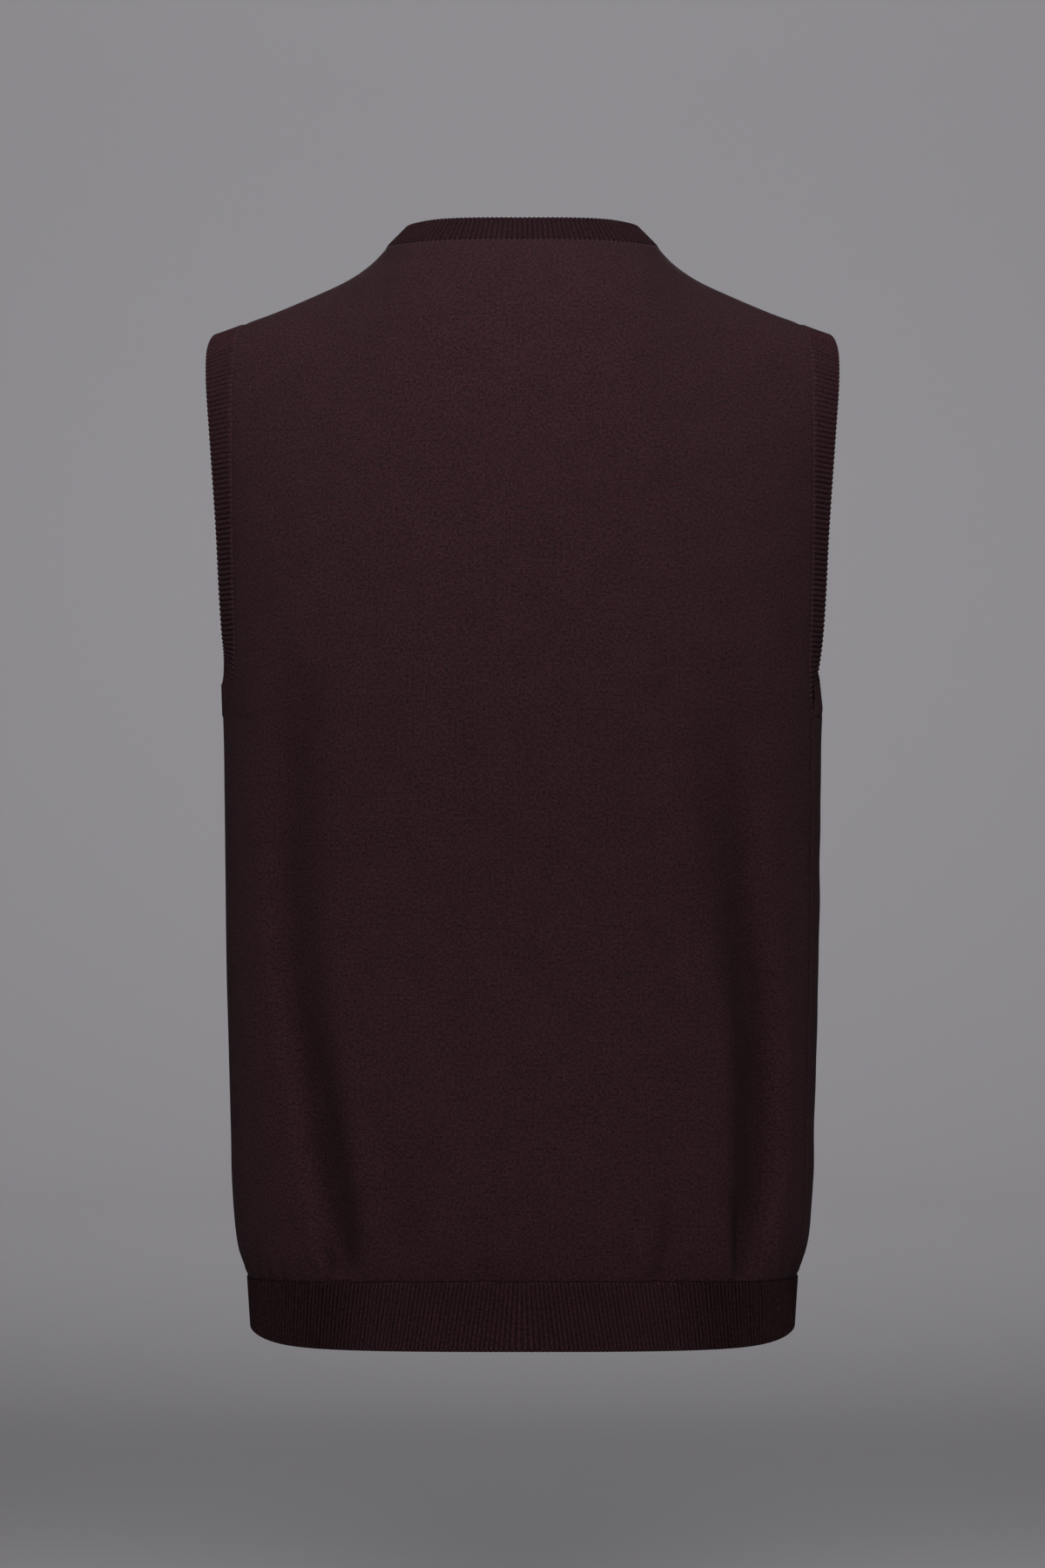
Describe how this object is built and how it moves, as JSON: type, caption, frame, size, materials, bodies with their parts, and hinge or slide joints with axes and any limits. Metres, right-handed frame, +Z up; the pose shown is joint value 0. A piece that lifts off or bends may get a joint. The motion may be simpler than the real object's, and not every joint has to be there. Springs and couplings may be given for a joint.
{
  "type": "knitted sweater vest",
  "caption": "Hollow knitted V-neck sweater vest in its worn shape, with a plain body and ribbed neckband, armhole bands and hem",
  "frame": {"origin": "midway between the two points where the shoulder seams meet the neckband, where the wearer's shoulders hold the vest up", "axes": "+X the wearer's right, +Y the wearer's front, +Z up"},
  "size_m": [0.3788, 0.2346, 0.6714],
  "materials": {
    "plain_knit": "fine wool stockinette knit with a soft nap",
    "rib_knit": "fine wool one by one rib knit"
  },
  "bodies": {
    "root": {"back_panel": "plain_knit", "front_panel": "plain_knit", "neck_rib": "rib_knit", "armhole_rib_right": "rib_knit", "armhole_rib_left": "rib_knit", "hem_rib_back": "rib_knit", "hem_rib_front": "rib_knit"}
  },
  "joints": []
}
